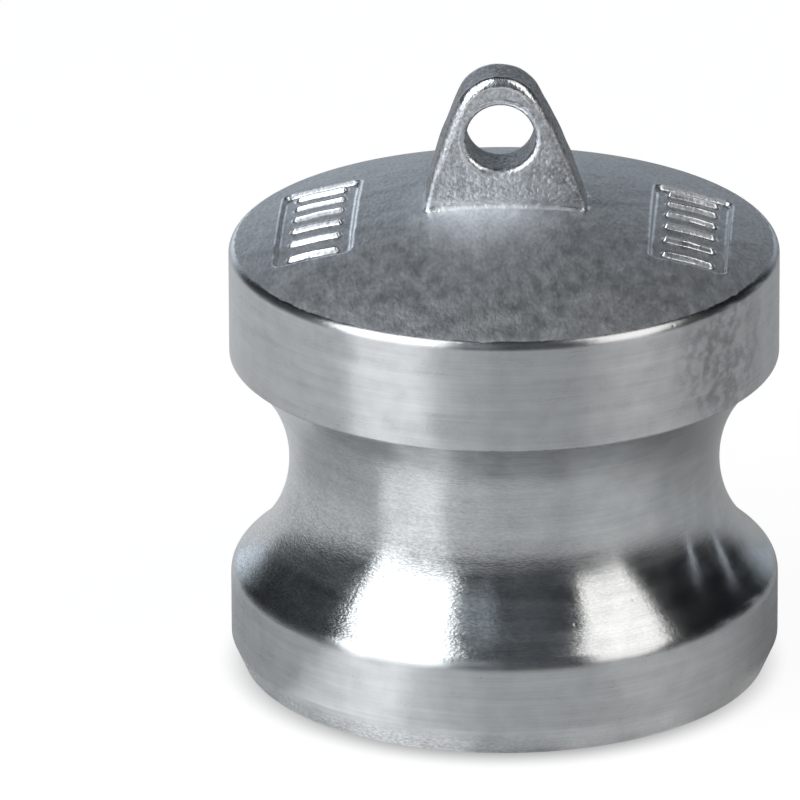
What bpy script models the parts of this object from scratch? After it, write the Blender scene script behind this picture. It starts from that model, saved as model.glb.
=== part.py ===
"""Dust plug for a cam and groove hose coupling, nominal size 1 1/2 inch (DN 40).

One investment casting in stainless steel. Its sides are turned: two plain bands with the cam
groove between them, and a lead-in chamfer at the foot. The domed crown, its two sunken pads, the
lug that a keeper chain hangs from and the hollow underneath stay as cast. Metres, +Z up, with the
origin at the centre of the foot. The lug's broad faces look along -Y and +Y.
"""

import math

import bmesh
import bpy
from mathutils import Matrix, Vector

# Turned outside, from the foot up
BAND_RADIUS = 0.0267
LEAD_IN_HEIGHT = 0.0027
LEAD_IN_DEPTH = 0.0012
LOWER_BAND = 0.0087
GROOVE_LOWER_ROUND = 0.0018
GROOVE_RADIUS = 0.01365
GROOVE_DEPTH = 0.00575
GROOVE_UPPER_ROUND = 0.0003
UPPER_BAND = 0.0106
RIM_ROUND = 0.0009

# Crown, and the cored hollow under it
CROWN_RISE = 0.00495
CROWN_THICKNESS = 0.005
NECK_WALL = 0.0038
HOLLOW_DRAFT = math.radians(2.5)
HOLLOW_CORNER = 0.0035
MOUTH_ROUND = 0.0006

# Lug, drawn in its own plane with the crown's middle at height nought
LUG_HEIGHT = 0.01315
LUG_TOP_RADIUS = 0.00435
LUG_SIDE_RADIUS = 0.054
LUG_TOP_FLARE = math.radians(26)
LUG_THICKNESS = 0.0052
LUG_EDGE_ROUND = 0.0009
LUG_FOOT_ROUND = 0.0007
LUG_LEAN = math.radians(2.8)
LUG_EMBED = 0.0008
HOLE_BELOW_TOP = 0.00615
HOLE_RADIUS = 0.0033
HOLE_EDGE_ROUND = 0.00065

# Sunken pads on either side of the lug, with plain ribs left standing in them
PAD_LENGTH = 0.019
PAD_WIDTH = 0.0073
PAD_CORNER = 0.0008
PAD_DEPTH = 0.0005
PAD_RIM_MARGIN = 0.003
PAD_TURN = math.radians(-3)
RIB_COUNT = 6
RIB_MARGIN = 0.0011
RIB_WIDTH = 0.001
RIB_HEIGHT = 0.00045
RIB_DRAFT = 0.0003
RIB_CORNER = 0.00015

# Fineness of the facets
TURNED_STEPS = 72
GROOVE_STEPS = 16
DOME_STEPS = 7
ROUND_STEPS = 4
CORNER_STEPS = 3
LUG_TOP_STEPS = 16
LUG_SIDE_STEPS = 5
HOLE_STEPS = 32

CUTTER_OVERRUN = 0.002
FILLET_SINK = 0.00003
MERGE = 0.000001
SHARP_EDGE = math.radians(35)

STEEL_COLOUR = (0.60, 0.60, 0.61, 1)
STEEL_ROUGHNESS = 0.3


def groove_round(radius):
    """Height from the groove's middle to a band edge round's centre, and the angle they touch at."""
    inward = GROOVE_RADIUS - GROOVE_DEPTH + radius
    height = math.sqrt((GROOVE_RADIUS + radius) ** 2 - inward**2)
    return height, math.atan2(height, inward)


neck_radius = BAND_RADIUS - GROOVE_DEPTH
groove_height = LOWER_BAND + groove_round(GROOVE_LOWER_ROUND)[0]
upper_band_foot = groove_height + groove_round(GROOVE_UPPER_ROUND)[0]
shoulder = upper_band_foot + UPPER_BAND
crown_radius = (BAND_RADIUS**2 + CROWN_RISE**2) / (2 * CROWN_RISE)
crown_top = shoulder + CROWN_RISE
crown_centre = crown_top - crown_radius


def crown_height(x, y, below=0.0):
    """Height over a point of the crown's sphere, or of the one that lies `below` it."""
    return crown_centre + math.sqrt((crown_radius - below) ** 2 - x * x - y * y)


def arc(centre, radius, start, end, steps):
    """Points along an arc from one angle to the other, ends included."""
    turn = (end - start) / steps
    return [
        (
            centre[0] + radius * math.cos(start + turn * i),
            centre[1] + radius * math.sin(start + turn * i),
        )
        for i in range(steps + 1)
    ]


def new_object(name, mesh, collection):
    """An object in the collection that shows the mesh."""
    made = bpy.data.objects.new(name, mesh)
    collection.objects.link(made)
    return made


def turned(name, profile, collection, steps):
    """A solid of revolution about Z, from a profile of (radius, height) points."""
    mesh = bpy.data.meshes.new(name)
    edges = [(i, i + 1) for i in range(len(profile) - 1)]
    mesh.from_pydata([(r, 0, z) for r, z in profile], edges, [])
    made = new_object(name, mesh, collection)
    screw = made.modifiers.new("turn", "SCREW")
    screw.steps = screw.render_steps = steps
    screw.use_merge_vertices = True
    screw.merge_threshold = MERGE
    return made


def add_loft(shape, loops):
    """Adds to the bmesh a closed solid through loops of points that lie one above the other."""
    rings = [[shape.verts.new(p) for p in loop] for loop in loops]
    count = len(rings[0])
    for lower, upper in zip(rings, rings[1:]):
        for i in range(count):
            j = (i + 1) % count
            shape.faces.new((lower[i], lower[j], upper[j], upper[i]))
    shape.faces.new(rings[0])
    shape.faces.new(rings[-1])


def object_from(shape, name, collection):
    """An object from the bmesh, with its faces pointing out. The bmesh is freed."""
    bmesh.ops.recalc_face_normals(shape, faces=shape.faces)
    mesh = bpy.data.meshes.new(name)
    shape.to_mesh(mesh)
    shape.free()
    return new_object(name, mesh, collection)


def boolean(target, tool, operation):
    """Adds or cuts the tool with an exact Boolean."""
    step = target.modifiers.new(tool.name, "BOOLEAN")
    step.operation = operation
    step.solver = "EXACT"
    step.object = tool
    tool.hide_render = True
    tool.display_type = "WIRE"


def baked(source, collection):
    """A mesh object in the place of a curve or a modified object, with its evaluated shape."""
    bpy.context.view_layer.update()
    graph = bpy.context.evaluated_depsgraph_get()
    mesh = bpy.data.meshes.new_from_object(source.evaluated_get(graph))
    shape = bmesh.new()
    shape.from_mesh(mesh)
    bmesh.ops.remove_doubles(shape, verts=shape.verts, dist=MERGE)
    shape.to_mesh(mesh)
    shape.free()
    name, place = source.name, source.matrix_world.copy()
    bpy.data.objects.remove(source)
    made = new_object(name, mesh, collection)
    made.matrix_world = place
    return made


def crown_profile():
    """The dome from its middle outwards, and the round that leads into the upper band."""
    round_x = BAND_RADIUS - RIM_ROUND
    round_z = crown_centre + math.sqrt((crown_radius - RIM_ROUND) ** 2 - round_x**2)
    meeting = math.atan2(round_z - crown_centre, round_x)
    dome = arc((0, crown_centre), crown_radius, math.pi / 2, meeting, DOME_STEPS)
    rim = arc((round_x, round_z), RIM_ROUND, meeting, 0, ROUND_STEPS)
    return [(0, crown_top)] + dome[1:] + rim[1:]


def groove_profile():
    """The upper band's lower edge, the groove's arc and the lower band's upper edge."""
    upper_z, upper_angle = groove_round(GROOVE_UPPER_ROUND)
    lower_z, lower_angle = groove_round(GROOVE_LOWER_ROUND)
    upper = arc(
        (BAND_RADIUS - GROOVE_UPPER_ROUND, groove_height + upper_z),
        GROOVE_UPPER_ROUND, 0, -upper_angle, ROUND_STEPS // 2,
    )
    groove = arc(
        (neck_radius + GROOVE_RADIUS, groove_height),
        GROOVE_RADIUS, math.pi - upper_angle, math.pi + lower_angle, GROOVE_STEPS,
    )
    lower = arc(
        (BAND_RADIUS - GROOVE_LOWER_ROUND, groove_height - lower_z),
        GROOVE_LOWER_ROUND, lower_angle, 0, ROUND_STEPS,
    )
    return upper + groove[1:] + lower[1:]


def hollow_profile():
    """The hollow's rounded mouth, drafted wall, corner and ceiling, which ends on the axis."""
    ceiling_radius = crown_radius - CROWN_THICKNESS
    middle_radius = neck_radius - NECK_WALL

    def wall(z):
        return middle_radius + (groove_height - z) * math.tan(HOLLOW_DRAFT)

    # The corner's centre lies one corner radius inside the wall and below the ceiling.
    corner_z = groove_height
    for _ in range(20):
        corner_x = wall(corner_z) - HOLLOW_CORNER / math.cos(HOLLOW_DRAFT)
        corner_z = crown_centre + math.sqrt((ceiling_radius - HOLLOW_CORNER) ** 2 - corner_x**2)
    ceiling_angle = math.atan2(corner_z - crown_centre, corner_x)
    mouth = arc(
        (wall(0) + MOUTH_ROUND, MOUTH_ROUND), MOUTH_ROUND,
        -math.pi / 2, -math.pi + HOLLOW_DRAFT, ROUND_STEPS // 2,
    )
    corner = arc(
        (corner_x, corner_z), HOLLOW_CORNER, HOLLOW_DRAFT, ceiling_angle, CORNER_STEPS
    )
    ceiling = arc((0, crown_centre), ceiling_radius, ceiling_angle, math.pi / 2, DOME_STEPS // 2)
    return mouth + corner + ceiling[1:-1] + [(0, crown_top - CROWN_THICKNESS)]


def body(collection):
    """The turned and cored body, without its lug."""
    foot = [(BAND_RADIUS, LEAD_IN_HEIGHT), (BAND_RADIUS - LEAD_IN_DEPTH, 0)]
    profile = crown_profile() + groove_profile() + foot + hollow_profile()
    return turned("dust_plug", profile, collection, TURNED_STEPS)


def side_centre():
    """Centre of the long arc that the lug's right side follows, tangent to the top round."""
    reach = LUG_SIDE_RADIUS - LUG_TOP_RADIUS
    x = -reach * math.cos(LUG_TOP_FLARE)
    y = LUG_HEIGHT - LUG_TOP_RADIUS - reach * math.sin(LUG_TOP_FLARE)
    return x, y


def lug_half_width(height):
    """Half the lug's width at a height on its long side arcs."""
    x, y = side_centre()
    return x + math.sqrt(LUG_SIDE_RADIUS**2 - (height - y) ** 2)


def lug_side(side, rise):
    """How far out the leaning lug's left (-1) or right (1) side is, `rise` above the crown."""
    x = side * lug_half_width(0)
    for _ in range(10):
        above = crown_height(x, 0) + rise - crown_top
        height = above * math.cos(LUG_LEAN) - x * math.sin(LUG_LEAN)
        x = side * lug_half_width(height) * math.cos(LUG_LEAN) - height * math.sin(LUG_LEAN)
    return x


def lug_place():
    """Carries the lug's plane, x across and y up, to its leaning place on the crown."""
    upright = Matrix.Rotation(math.pi / 2, 4, "X")
    lean = Matrix.Rotation(-LUG_LEAN, 4, "Y")
    return Matrix.Translation((0, 0, crown_top)) @ lean @ upright


def lug(guides):
    """The lug as a flat outline, extruded, with rounded edges. Its root is buried in the crown."""
    reach = lug_half_width(0)
    drop = crown_top - crown_height(reach, LUG_THICKNESS / 2) + reach * math.sin(LUG_LEAN)
    root = -(drop + LUG_EDGE_ROUND + LUG_EMBED)
    centre = side_centre()
    root_angle = math.asin((root - centre[1]) / LUG_SIDE_RADIUS)
    right = arc(centre, LUG_SIDE_RADIUS, root_angle, LUG_TOP_FLARE, LUG_SIDE_STEPS)
    top = arc(
        (0, LUG_HEIGHT - LUG_TOP_RADIUS),
        LUG_TOP_RADIUS, LUG_TOP_FLARE, math.pi - LUG_TOP_FLARE, LUG_TOP_STEPS,
    )
    left = [(-x, y) for x, y in reversed(right)]
    outline = right + top[1:-1] + left
    curve = bpy.data.curves.new("lug", "CURVE")
    curve.dimensions = "2D"
    curve.fill_mode = "BOTH"
    curve.extrude = LUG_THICKNESS / 2 - LUG_EDGE_ROUND
    curve.bevel_depth = LUG_EDGE_ROUND
    curve.bevel_resolution = 2
    curve.offset = -LUG_EDGE_ROUND
    spline = curve.splines.new("POLY")
    spline.points.add(len(outline) - 1)
    for point, (x, y) in zip(spline.points, outline):
        point.co = (x, y, 0, 1)
    spline.use_cyclic_u = True
    drawn = new_object("lug", curve, guides)
    drawn.matrix_world = lug_place()
    return baked(drawn, guides)


def rounded_rectangle(low, high, corner, height):
    """A loop round a rectangle with rounded corners, at the height that a function gives."""
    loop = []
    ends = ((high[0], high[1]), (low[0], high[1]), (low[0], low[1]), (high[0], low[1]))
    middle = ((low[0] + high[0]) / 2, (low[1] + high[1]) / 2)
    for quarter, end in enumerate(ends):
        centre = [e - math.copysign(corner, e - m) for e, m in zip(end, middle)]
        start = quarter * math.pi / 2
        loop += arc(centre, corner, start, start + math.pi / 2, CORNER_STEPS)
    return [Vector((x, y, height(x, y))) for x, y in loop]


def lug_foot(guides):
    """The fillet round the lug's root: a hollow-sided skirt that follows the crown."""
    loops = []
    for i in range(ROUND_STEPS + 1):
        angle = math.pi / 2 * i / ROUND_STEPS
        rise = LUG_FOOT_ROUND * (1 - math.cos(angle)) - FILLET_SINK
        out = LUG_FOOT_ROUND * (1 - math.sin(angle)) - FILLET_SINK
        depth = LUG_THICKNESS / 2 + out
        loops.append(
            rounded_rectangle(
                (lug_side(-1, rise) - out, -depth),
                (lug_side(1, rise) + out, depth),
                LUG_EDGE_ROUND + out,
                lambda x, y, rise=rise: crown_height(x, y) + rise,
            )
        )
    shape = bmesh.new()
    under = [Vector((p.x, p.y, p.z - LUG_EMBED)) for p in loops[0]]
    add_loft(shape, [under] + loops)
    return object_from(shape, "lug_foot", guides)


def lug_hole(guides):
    """The cutter for the keeper's hole, wider at each face by the hole's edge round."""
    half = LUG_THICKNESS / 2
    mouth = HOLE_RADIUS + HOLE_EDGE_ROUND
    flare = arc((mouth, half - HOLE_EDGE_ROUND), HOLE_EDGE_ROUND, math.pi / 2, math.pi, ROUND_STEPS)
    outside = half + CUTTER_OVERRUN
    upper = [(0, outside), (mouth, outside)] + flare
    lower = [(r, -z) for r, z in reversed(upper)]
    cutter = turned("lug_hole", upper + lower, guides, HOLE_STEPS)
    cutter.matrix_world = lug_place() @ Matrix.Translation((0, LUG_HEIGHT - HOLE_BELOW_TOP, 0))
    return baked(cutter, guides)


def pad_distance():
    """From the axis to a pad's middle, with its outer corners clear of the rim."""
    corner = BAND_RADIUS - PAD_RIM_MARGIN
    return math.sqrt(corner**2 - (PAD_LENGTH / 2) ** 2) - PAD_WIDTH / 2


def pads(guides):
    """The cutter for both pads: rounded blocks with floors one pad depth below the crown."""
    shape = bmesh.new()
    for side in (-1, 1):
        middle = side * pad_distance()
        low = (middle - PAD_WIDTH / 2, -PAD_LENGTH / 2)
        high = (middle + PAD_WIDTH / 2, PAD_LENGTH / 2)
        add_loft(shape, [
            rounded_rectangle(low, high, PAD_CORNER, lambda x, y: shoulder),
            rounded_rectangle(low, high, PAD_CORNER, lambda x, y: crown_top + CUTTER_OVERRUN),
        ])
    cutter = object_from(shape, "pads", guides)
    cutter.rotation_euler.z = PAD_TURN
    return cutter


def pad_floor(guides):
    """The ball that the pads' cutter stops at, one pad depth below the crown."""
    radius = crown_radius - PAD_DEPTH
    edge = math.acos(BAND_RADIUS / radius)
    top = arc((0, crown_centre), radius, math.pi / 2, edge, DOME_STEPS)
    under = shoulder - CROWN_RISE
    profile = [(0, crown_top - PAD_DEPTH)] + top[1:] + [(BAND_RADIUS, under), (0, under)]
    return turned("pad_floor", profile, guides, TURNED_STEPS)


def ribs(guides):
    """Plain ribs across both pads, wider at their feet, which are sunk in the pads' floors."""
    shape = bmesh.new()
    pitch = (PAD_LENGTH - 2 * RIB_MARGIN - RIB_WIDTH) / (RIB_COUNT - 1)
    half = PAD_WIDTH / 2 - RIB_MARGIN
    for side in (-1, 1):
        for i in range(RIB_COUNT):
            middle = Vector((side * pad_distance(), (i - (RIB_COUNT - 1) / 2) * pitch))
            loops = []
            for inset, below in (
                (0, 2 * PAD_DEPTH),
                (0, PAD_DEPTH),
                (RIB_DRAFT, PAD_DEPTH - RIB_HEIGHT),
            ):
                reach = Vector((half - inset, RIB_WIDTH / 2 - inset))
                loops.append(
                    rounded_rectangle(
                        middle - reach, middle + reach, RIB_CORNER,
                        lambda x, y, below=below: crown_height(x, y, below),
                    )
                )
            add_loft(shape, loops)
    made = object_from(shape, "ribs", guides)
    made.rotation_euler.z = PAD_TURN
    return made


def stainless_steel():
    """The plug's plain metal material."""
    made = bpy.data.materials.new("stainless_steel")
    made.use_nodes = True
    shader = made.node_tree.nodes["Principled BSDF"]
    shader.inputs["Base Color"].default_value = STEEL_COLOUR
    shader.inputs["Metallic"].default_value = 1
    shader.inputs["Roughness"].default_value = STEEL_ROUGHNESS
    return made


def main():
    """Builds the plug in its own collection, with its cutters in another."""
    for old in list(bpy.data.objects):
        bpy.data.objects.remove(old)
    parts = bpy.data.collections.new("dust plug")
    guides = bpy.data.collections.new("cutters")
    for collection in (parts, guides):
        bpy.context.scene.collection.children.link(collection)

    pad_cutter = pads(guides)
    boolean(pad_cutter, pad_floor(guides), "DIFFERENCE")
    plug = body(parts)
    boolean(plug, pad_cutter, "DIFFERENCE")
    boolean(plug, ribs(guides), "UNION")
    boolean(plug, lug(guides), "UNION")
    boolean(plug, lug_foot(guides), "UNION")
    boolean(plug, lug_hole(guides), "DIFFERENCE")

    plug = baked(plug, parts)
    plug.data.shade_smooth()
    plug.data.set_sharp_from_angle(angle=SHARP_EDGE)
    plug.data.materials.append(stainless_steel())


main()
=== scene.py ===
"""Looks of a dust plug for a cam and groove hose coupling: one casting with turned sides.

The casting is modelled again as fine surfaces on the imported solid's own sizes, in metres, with +Z
up and the origin at the centre of the foot. Its crown, lug, pads and hollow keep the grain of an
investment casting, and its bands, cam groove, rim and foot are turned bright. It stands on a white
floor between two soft boxes.
"""

import logging
import math
from collections.abc import Callable
from dataclasses import dataclass, field
from enum import Enum
from typing import Any

import bpy
import numpy as np
from mathutils import Matrix, Vector


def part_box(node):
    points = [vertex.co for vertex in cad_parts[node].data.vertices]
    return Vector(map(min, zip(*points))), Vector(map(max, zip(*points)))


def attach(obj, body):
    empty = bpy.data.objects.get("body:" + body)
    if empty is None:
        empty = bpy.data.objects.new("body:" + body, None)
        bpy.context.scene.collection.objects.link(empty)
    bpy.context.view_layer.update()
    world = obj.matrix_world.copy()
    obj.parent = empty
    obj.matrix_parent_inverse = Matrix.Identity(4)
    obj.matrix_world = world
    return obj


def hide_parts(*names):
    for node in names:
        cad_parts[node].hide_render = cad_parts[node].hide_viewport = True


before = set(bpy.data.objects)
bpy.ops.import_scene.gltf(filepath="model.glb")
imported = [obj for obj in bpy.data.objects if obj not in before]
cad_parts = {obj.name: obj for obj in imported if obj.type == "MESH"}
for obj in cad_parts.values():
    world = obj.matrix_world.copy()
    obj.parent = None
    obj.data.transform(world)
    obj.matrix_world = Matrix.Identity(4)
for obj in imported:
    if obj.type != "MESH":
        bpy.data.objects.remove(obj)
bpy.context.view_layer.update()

log = logging.getLogger("dust_plug")

Grid = np.ndarray
Pair = tuple[float, float]
Triple = tuple[float, float, float]
# Low, high, start and end, as Signal.rise takes them.
Slope = tuple[float, float, float, float]
Faces = list[tuple[int, ...]]
Solid = tuple[Grid, Faces]

MM = 0.001
NODE = "dust_plug"
BODY = "root"
BEND = "bend"
# Rounds in which two places that follow from each other settle.
SETTLING_ROUNDS = 20


def arc(centre: Grid | Pair, radius: float, start: float, end: float, steps: int) -> Grid:
    """Points along an arc: the centre plus the radius turned from one angle to the other."""
    angle = np.linspace(start, end, steps + 1)
    return np.array(centre) + radius * np.stack((np.cos(angle), np.sin(angle)), axis=1)


def fillet(before: Grid, corner: Grid, after: Grid, radius: float, steps: int) -> Grid:
    """Rounds a corner of a profile with an arc that is tangent to both of its sides.

    The arc's centre is on the corner's bisector, at the radius over the sine of half the angle.

    Args:
        before: A point on the side that leads to the corner.
        corner: The corner itself.
        after: A point on the side that leaves it.
        radius: Radius of the round.
        steps: Stretches along it.

    Returns:
        The round's points, from the first side to the second.
    """
    back, ahead = ((end - corner) / np.linalg.norm(end - corner) for end in (before, after))
    half_angle = math.acos(float(back @ ahead)) / 2
    middle = corner + (back + ahead) / np.linalg.norm(back + ahead) * radius / math.sin(half_angle)
    reach = radius / math.tan(half_angle)
    first = corner + back * reach - middle
    last = corner + ahead * reach - middle
    start = math.atan2(first[1], first[0])
    turn = math.atan2(first[0] * last[1] - first[1] * last[0], float(first @ last))
    return arc(middle, radius, start, start + turn, steps)


def eased(start: Grid, end: Grid, steps: int) -> Grid:
    """Points between a side's two ends, without them and closer together there by a half cosine."""
    share = (1 - np.cos(np.linspace(0, math.pi, steps + 1)[1:-1])) / 2
    return start + (end - start) * share[:, None]


def smooth(low: float, high: float, value: Grid) -> Grid:
    """Rises from 0 to 1 between two values, with a level start and end: t squared times (3 - 2t)."""
    share = np.clip((value - low) / (high - low), 0, 1)
    return share * share * (3 - 2 * share)


def faces_of(*corners: Grid) -> Faces:
    """Faces as tuples of point numbers, from one array for each of their corners."""
    return [tuple(face) for face in np.stack(corners, axis=-1).reshape(-1, len(corners)).tolist()]


def grid_faces(rows: int, columns: int, wrap_rows: bool, wrap_columns: bool) -> Faces:
    """Quads over a grid of points that are numbered row by row.

    Args:
        rows: Rows of points.
        columns: Points in a row.
        wrap_rows: Whether the last row joins the first.
        wrap_columns: Whether a row's last point joins its first.

    Returns:
        The faces.
    """
    row = np.arange(rows if wrap_rows else rows - 1)
    column = np.arange(columns if wrap_columns else columns - 1)
    i, j = np.meshgrid(row, column, indexing="ij")
    below = (i + 1) % rows * columns
    right = (j + 1) % columns
    return faces_of(i * columns + j, below + j, below + right, i * columns + right)


def rounded_rectangle(low: Grid, high: Grid, corner: float, steps: tuple[int, int]) -> Grid:
    """A loop round a rectangle with rounded corners: four arcs and the straight sides between.

    Args:
        low: Lowest corner.
        high: Highest corner.
        corner: Radius of the corners.
        steps: Stretches along the sides that run across, and along the other two.

    Returns:
        The loop's points, anticlockwise from the highest corner.
    """
    middle = (low + high) / 2
    ends = ((high[0], high[1]), (low[0], high[1]), (low[0], low[1]), (high[0], low[1]))
    rounds = []
    for quarter, end in enumerate(ends):
        centre = np.array(end) - np.sign(np.array(end) - middle) * corner
        start = quarter * math.pi / 2
        rounds.append(arc(centre, corner, start, start + math.pi / 2, steps=6))
    loop = []
    for quarter, points in enumerate(rounds):
        loop += [points, eased(points[-1], rounds[(quarter + 1) % 4][0], steps[quarter % 2])]
    return np.concatenate(loop)


def lofted(loops: Grid) -> Solid:
    """Closes a stack of loops into a solid, with a face over each end.

    Args:
        loops: The loops' points, as many in each.

    Returns:
        The solid's points and faces.
    """
    rows, columns = loops.shape[:2]
    faces = grid_faces(rows, columns, wrap_rows=False, wrap_columns=True)
    faces.append(tuple(range(columns)))
    faces.append(tuple(range((rows - 1) * columns, rows * columns))[::-1])
    return loops.reshape(-1, 3), faces


def placed_in_scene(name: str, data: bpy.types.ID) -> bpy.types.Object:
    """Makes an object of a mesh, a lamp or a camera.

    Args:
        name: Name of the object.
        data: The mesh, lamp or camera.

    Returns:
        The object, in the scene.
    """
    made = bpy.data.objects.new(name, data)
    bpy.context.collection.objects.link(made)
    return made


def solid_object(name: str, solid: Solid) -> bpy.types.Object:
    """Makes a mesh object of a closed solid whose faces point outwards.

    The signed volume, a sixth of the sum of each triangle's first corner dotted with the cross
    product of the other two, tells which way the faces point.

    Args:
        name: Name of the object.
        solid: Its points and faces.

    Returns:
        The object, in the scene.
    """
    points, faces = solid
    mesh = bpy.data.meshes.new(name)
    mesh.from_pydata(points, [], faces)
    mesh.calc_loop_triangles()
    corners = np.empty(len(mesh.loop_triangles) * 3, dtype=np.int32)
    mesh.loop_triangles.foreach_get("vertices", corners)
    first, second, third = points[corners.reshape(-1, 3)].transpose(1, 0, 2)
    if np.einsum("ij,ij->", first, np.cross(second, third)) < 0:
        mesh.flip_normals()
    return placed_in_scene(name, mesh)


class Operation(Enum):
    """Ways to combine two solids."""

    JOIN = "UNION"
    CUT = "DIFFERENCE"


def combine(target: bpy.types.Object, tool: bpy.types.Object, operation: Operation) -> None:
    """Joins the tool to the target or cuts it away, and removes the tool.

    Args:
        target: Object whose mesh changes.
        tool: Solid that is added or cut.
        operation: Which of the two.
    """
    step = target.modifiers.new(tool.name, "BOOLEAN")
    step.operation = operation.value
    step.solver = "EXACT"
    step.object = tool
    graph = bpy.context.evaluated_depsgraph_get()
    result = bpy.data.meshes.new_from_object(target.evaluated_get(graph))
    target.modifiers.clear()
    target.data = result
    bpy.data.objects.remove(tool)


@dataclass(frozen=True)
class Unevenness:
    """Soft waves of a cast surface, as a sum of plane waves in seeded random directions."""

    amplitude: float = 0.035 * MM
    longest: float = 9 * MM
    shortest: float = 2.2 * MM
    waves: int = 28
    seed: int = 7

    def at(self, x: Grid, y: Grid, z: Grid) -> Grid:
        """Depth below the plain surface: sines of each point's way along each wave's direction.

        Args:
            x: Places across.
            y: Places in depth.
            z: Heights.

        Returns:
            Depths between nought and twice the amplitude.
        """
        draw = np.random.default_rng(self.seed)
        total = np.zeros(np.broadcast(x, y, z).shape)
        for _ in range(self.waves):
            direction = draw.normal(size=3)
            direction /= np.linalg.norm(direction)
            wavelength = self.shortest * (self.longest / self.shortest) ** draw.random()
            phase = draw.random() * math.tau
            way = direction[0] * x + direction[1] * y + direction[2] * z
            total += np.sin(way * math.tau / wavelength + phase)
        return self.amplitude * (1 + np.clip(total / math.sqrt(self.waves), -1, 1))


@dataclass
class PlugBody:
    """The body of revolution: domed crown, rim, two bands, cam groove, foot and hollow."""

    radius: float
    lead_in_height: float = 2.7 * MM
    lead_in_depth: float = 1.2 * MM
    lower_band: float = 8.7 * MM
    lower_round: float = 1.8 * MM
    groove_radius: float = 13.65 * MM
    groove_depth: float = 5.75 * MM
    upper_round: float = 0.3 * MM
    upper_band: float = 10.6 * MM
    rim_round: float = 0.9 * MM
    crown_rise: float = 4.95 * MM
    crown_thickness: float = 5 * MM
    neck_wall: float = 3.8 * MM
    hollow_draft: float = math.radians(2.5)
    hollow_corner: float = 3.5 * MM
    mouth_round: float = 0.6 * MM
    edge_round: float = 0.2 * MM
    wave_fade: float = 2 * MM
    segments: int = 288
    dome_rings: int = 50
    unevenness: Unevenness = field(default_factory=Unevenness)

    def round_place(self, radius: float) -> Pair:
        """Where the round between a band and the groove lies: outside the groove, touching both.

        Args:
            radius: The round's radius.

        Returns:
            Its centre's height from the groove's middle, and the angle at which it meets the groove.
        """
        inward = self.groove_radius - self.groove_depth + radius
        height = math.sqrt((self.groove_radius + radius) ** 2 - inward**2)
        return height, math.atan2(height, inward)

    @property
    def neck_radius(self) -> float:
        """Radius at the bottom of the groove."""
        return self.radius - self.groove_depth

    @property
    def groove_height(self) -> float:
        """Height of the groove's middle."""
        return self.lower_band + self.round_place(self.lower_round)[0]

    @property
    def shoulder(self) -> float:
        """Height at which the dome's sphere would meet the upper band."""
        return self.groove_height + self.round_place(self.upper_round)[0] + self.upper_band

    @property
    def crown_top(self) -> float:
        """Height of the middle of the crown."""
        return self.shoulder + self.crown_rise

    @property
    def crown_radius(self) -> float:
        """Radius of the crown's sphere, from its rise over the plug's width."""
        return (self.radius**2 + self.crown_rise**2) / (2 * self.crown_rise)

    @property
    def crown_centre(self) -> float:
        """Height of the centre of the crown's sphere."""
        return self.crown_top - self.crown_radius

    @property
    def rim_centre(self) -> Pair:
        """Radius and height of the rim round's centre, tangent to the dome and the band."""
        x = self.radius - self.rim_round
        reach = self.crown_radius - self.rim_round
        return x, self.crown_centre + math.sqrt(reach**2 - x**2)

    @property
    def rim_angle(self) -> float:
        """Angle above level at which the rim round meets the dome."""
        x, z = self.rim_centre
        return math.atan2(z - self.crown_centre, x)

    @property
    def rim_start(self) -> float:
        """Distance from the axis at which the cast dome ends and the turned rim starts."""
        return self.rim_centre[0] + self.rim_round * math.cos(self.rim_angle)

    def crown_height(self, x: Grid, y: Grid) -> Grid:
        """Height of the cast dome: its sphere, less the unevenness, which fades out at the rim.

        Args:
            x: Places across.
            y: Places in depth.

        Returns:
            Heights over those places.
        """
        plain = self.crown_centre + np.sqrt(self.crown_radius**2 - x * x - y * y)
        fade = 1 - smooth(self.rim_start - self.wave_fade, self.rim_start, np.hypot(x, y))
        return plain - fade * self.unevenness.at(x, y, np.full_like(x, self.crown_top))

    def outside(self) -> Grid:
        """The turned profile from the rim down to the inner edge of the foot.

        Returns:
            Its points, as radius and height.
        """
        upper_z, upper_angle = self.round_place(self.upper_round)
        lower_z, lower_angle = self.round_place(self.lower_round)
        upper_centre = (self.radius - self.upper_round, self.groove_height + upper_z)
        groove_centre = (self.neck_radius + self.groove_radius, self.groove_height)
        lower_centre = (self.radius - self.lower_round, self.groove_height - lower_z)
        from_angle, to_angle = math.pi - upper_angle, math.pi + lower_angle
        rim = arc(self.rim_centre, self.rim_round, self.rim_angle, 0, steps=9)
        upper = arc(upper_centre, self.upper_round, 0, -upper_angle, steps=4)
        groove = arc(groove_centre, self.groove_radius, from_angle, to_angle, steps=48)
        lower = arc(lower_centre, self.lower_round, lower_angle, 0, steps=8)
        band_foot = np.array((self.radius, self.lead_in_height))
        tip = np.array((self.radius - self.lead_in_depth, 0.0))
        inner = np.array((self.wall(0.0) + self.mouth_round, 0.0))
        chamfer = fillet(lower[-1], band_foot, tip, self.edge_round, steps=3)
        foot = fillet(band_foot, tip, inner, self.edge_round, steps=4)
        return np.concatenate((
            rim, eased(rim[-1], upper[0], steps=6),
            upper, groove[1:], lower[1:], eased(lower[-1], chamfer[0], steps=5),
            chamfer, eased(chamfer[-1], foot[0], steps=5),
            foot, eased(foot[-1], inner, steps=5),
        ))

    def wall(self, height: float) -> float:
        """Radius of the hollow's drafted wall at a height."""
        middle = self.neck_radius - self.neck_wall
        return middle + (self.groove_height - height) * math.tan(self.hollow_draft)

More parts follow.
